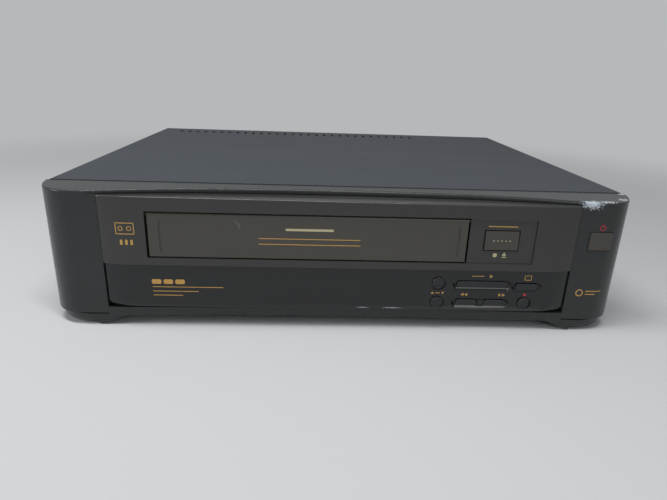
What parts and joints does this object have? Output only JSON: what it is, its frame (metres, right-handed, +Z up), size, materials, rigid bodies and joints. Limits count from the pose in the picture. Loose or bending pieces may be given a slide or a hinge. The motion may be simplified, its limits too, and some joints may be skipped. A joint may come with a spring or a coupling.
{
  "type": "video cassette recorder",
  "caption": "Low front-loading video cassette recorder: sprung cassette door, lift-in carriage, tape drive with drum and threading arms, push buttons, sheet steel cover and rear sockets.",
  "frame": {"origin": "middle of the footprint box, on the table", "axes": "+X to the right seen from the front, +Y to the back, +Z up"},
  "size_m": [0.38, 0.32, 0.0919],
  "materials": {
    "bezel_plastic": "fine matte moulded plastic, dark grey",
    "fascia_plastic": "satin moulded plastic, charcoal",
    "panel_plastic": "polished dark plastic",
    "door_plastic": "satin dark plastic, slightly warm",
    "button_plastic": "satin dark plastic",
    "cover_steel": "textured grey paint on sheet steel",
    "chassis_steel": "zinc plated sheet steel",
    "foot_rubber": "matte black rubber",
    "circuit_board": "brown laminate with tinned tracks",
    "component_case": "black moulded cases and sleeves",
    "screen_tin": "tinned screening sheet",
    "machined_steel": "ground and polished steel",
    "drum_aluminium": "turned aluminium",
    "gear_plastic": "natural white nylon",
    "reel_plastic": "black acetal",
    "roller_rubber": "ground black rubber",
    "transformer_iron": "varnished laminations",
    "heatsink_aluminium": "plain extruded aluminium",
    "phono_plastic": "black moulded block",
    "screw_steel": "blackened steel"
  },
  "bodies": {
    "root": {"front_bezel": "bezel_plastic", "front_feet": "foot_rubber", "upper_fascia": "fascia_plastic", "control_panel": "panel_plastic", "control_board": "circuit_board", "tact_switches": "component_case", "top_cover": "cover_steel", "cover_screws": "screw_steel", "rear_panel": "chassis_steel", "chassis_tray": "chassis_steel", "rear_feet": "foot_rubber", "main_board": "circuit_board", "main_board_components": "component_case", "av_jack_block": "phono_plastic", "phono_sockets": "screen_tin", "rf_modulator": "screen_tin", "aerial_sockets": "screen_tin", "mains_inlet": "phono_plastic", "power_board": "circuit_board", "power_transformer": "transformer_iron", "power_heatsink": "heatsink_aluminium", "power_capacitors": "component_case", "deck_plate": "chassis_steel", "deck_screws": "screw_steel", "carriage_bracket_left": "chassis_steel", "carriage_bracket_right": "chassis_steel", "reel_drive_belt": "roller_rubber", "capstan_housing": "machined_steel", "lower_drum": "drum_aluminium", "full_erase_head": "machined_steel", "audio_control_head": "machined_steel", "guide_posts": "machined_steel", "loading_motor": "screen_tin"},
    "cassette_door": {"cassette_door": "door_plastic"},
    "power_button": {"power_button": "button_plastic"},
    "stop_eject_button": {"stop_eject_button": "button_plastic"},
    "play_button": {"play_button": "button_plastic"},
    "rewind_button": {"rewind_button": "button_plastic"},
    "fast_forward_button": {"fast_forward_button": "button_plastic"},
    "tv_video_button": {"tv_video_button": "button_plastic"},
    "record_button": {"record_button": "button_plastic"},
    "channel_up_button": {"channel_up_button": "button_plastic"},
    "channel_down_button": {"channel_down_button": "button_plastic"},
    "carriage_slider": {"carriage_slider": "chassis_steel"},
    "cassette_holder": {"cassette_holder": "chassis_steel"},
    "carriage_gear": {"carriage_gear": "gear_plastic"},
    "supply_reel_table": {"supply_reel_table": "reel_plastic"},
    "takeup_reel_table": {"takeup_reel_table": "reel_plastic"},
    "idler_drive": {"idler_drive": "reel_plastic"},
    "idler_arm": {"idler_arm": "chassis_steel"},
    "idler_wheel": {"idler_wheel": "roller_rubber"},
    "capstan": {"capstan": "machined_steel"},
    "pinch_arm": {"pinch_arm": "chassis_steel"},
    "pinch_roller": {"pinch_roller": "roller_rubber"},
    "tension_arm": {"tension_arm": "chassis_steel"},
    "upper_drum": {"upper_drum": "drum_aluminium"},
    "supply_loading_arm": {"supply_loading_arm": "gear_plastic"},
    "takeup_loading_arm": {"takeup_loading_arm": "gear_plastic"},
    "loading_gear": {"loading_gear": "gear_plastic"},
    "loading_pinion": {"loading_pinion": "gear_plastic"}
  },
  "joints": [
    {"name": "door_hinge", "type": "hinge", "parent": "root", "child": "cassette_door", "pos_m": [-0.021, -0.158, 0.07665], "axis": [1, 0, 0], "range_deg": [0, 88], "stiffness_Nm_per_rad": 0.01},
    {"name": "carriage_slide", "type": "slide", "parent": "root", "child": "carriage_slider", "axis": [0, 1, 0], "range_m": [0, 0.06]},
    {"name": "holder_drop", "type": "slide", "parent": "carriage_slider", "child": "cassette_holder", "axis": [0, 0, -1], "range_m": [0, 0.02]},
    {"name": "carriage_gear_turn", "type": "hinge", "parent": "root", "child": "carriage_gear", "pos_m": [0.083, -0.061, 0.07], "axis": [1, 0, 0], "range_deg": [-432, 2]},
    {"name": "stop_eject_press", "type": "slide", "parent": "root", "child": "stop_eject_button", "axis": [0, 1, 0], "range_m": [0, 0.0008], "stiffness_N_per_m": 300},
    {"name": "play_press", "type": "slide", "parent": "root", "child": "play_button", "axis": [0, 1, 0], "range_m": [0, 0.0008], "stiffness_N_per_m": 300},
    {"name": "rewind_press", "type": "slide", "parent": "root", "child": "rewind_button", "axis": [0, 1, 0], "range_m": [0, 0.0008], "stiffness_N_per_m": 300},
    {"name": "fast_forward_press", "type": "slide", "parent": "root", "child": "fast_forward_button", "axis": [0, 1, 0], "range_m": [0, 0.0008], "stiffness_N_per_m": 300},
    {"name": "tv_video_press", "type": "slide", "parent": "root", "child": "tv_video_button", "axis": [0, 1, 0], "range_m": [0, 0.0008], "stiffness_N_per_m": 300},
    {"name": "record_press", "type": "slide", "parent": "root", "child": "record_button", "axis": [0, 1, 0], "range_m": [0, 0.0008], "stiffness_N_per_m": 300},
    {"name": "channel_up_press", "type": "slide", "parent": "root", "child": "channel_up_button", "axis": [0, 1, 0], "range_m": [0, 0.0008], "stiffness_N_per_m": 300},
    {"name": "channel_down_press", "type": "slide", "parent": "root", "child": "channel_down_button", "axis": [0, 1, 0], "range_m": [0, 0.0008], "stiffness_N_per_m": 300},
    {"name": "power_press", "type": "slide", "parent": "root", "child": "power_button", "axis": [0, 1, 0], "range_m": [0, 0.0015], "stiffness_N_per_m": 300},
    {"name": "drum_spin", "type": "hinge", "parent": "root", "child": "upper_drum", "pos_m": [-0.021, 0.032, 0.0235], "axis": [0, 0.1045, 0.9945], "continuous": true},
    {"name": "capstan_spin", "type": "hinge", "parent": "root", "child": "capstan", "pos_m": [0.041, -0.011, 0.02], "axis": [0, 0, 1], "continuous": true},
    {"name": "supply_reel_spin", "type": "hinge", "parent": "root", "child": "supply_reel_table", "pos_m": [-0.067, -0.065, 0.028], "axis": [0, 0, 1], "continuous": true},
    {"name": "takeup_reel_spin", "type": "hinge", "parent": "root", "child": "takeup_reel_table", "pos_m": [0.025, -0.065, 0.028], "axis": [0, 0, 1], "continuous": true},
    {"name": "idler_drive_spin", "type": "hinge", "parent": "root", "child": "idler_drive", "pos_m": [-0.021, -0.045, 0.025], "axis": [0, 0, 1], "continuous": true},
    {"name": "idler_swing", "type": "hinge", "parent": "root", "child": "idler_arm", "pos_m": [-0.021, -0.045, 0.029], "axis": [0, 0, 1], "range_deg": [-14.3, 14.3]},
    {"name": "idler_wheel_spin", "type": "hinge", "parent": "idler_arm", "child": "idler_wheel", "pos_m": [-0.021, -0.069, 0.027], "axis": [0, 0, 1], "continuous": true},
    {"name": "pinch_swing", "type": "hinge", "parent": "root", "child": "pinch_arm", "pos_m": [0.069, 0.003, 0.045], "axis": [0, 0, 1], "range_deg": [0, 40]},
    {"name": "pinch_roller_spin", "type": "hinge", "parent": "pinch_arm", "child": "pinch_roller", "pos_m": [0.0478, 0.0151, 0.044], "axis": [0, 0, 1], "continuous": true},
    {"name": "tension_swing", "type": "hinge", "parent": "root", "child": "tension_arm", "pos_m": [-0.105, 0.001, 0.029], "axis": [0, 0, 1], "range_deg": [0, 30], "stiffness_Nm_per_rad": 0.005},
    {"name": "supply_thread", "type": "hinge", "parent": "root", "child": "supply_loading_arm", "pos_m": [-0.035, 0.0153, 0.015], "axis": [0, 0, 1], "range_deg": [-93, 0]},
    {"name": "takeup_thread", "type": "hinge", "parent": "root", "child": "takeup_loading_arm", "pos_m": [-0.007, 0.0153, 0.015], "axis": [0, 0, 1], "range_deg": [0, 93]},
    {"name": "loading_gear_turn", "type": "hinge", "parent": "root", "child": "loading_gear", "pos_m": [-0.052, 0.04475, 0.015], "axis": [0, 0, 1], "range_deg": [0, 66]},
    {"name": "loading_pinion_turn", "type": "hinge", "parent": "root", "child": "loading_pinion", "pos_m": [-0.07365, 0.05724, 0.015], "axis": [0, 0, 1], "range_deg": [-261, 0]}
  ],
  "couplings": [
    {"joint": "carriage_gear_turn", "follows": "carriage_slide", "rad_per_m": -125},
    {"joint": "takeup_thread", "follows": "supply_thread", "ratio": -1},
    {"joint": "loading_gear_turn", "follows": "supply_thread", "ratio": -0.7},
    {"joint": "loading_pinion_turn", "follows": "supply_thread", "ratio": 2.8},
    {"joint": "idler_drive_spin", "follows": "capstan_spin", "ratio": 0.7}
  ]
}
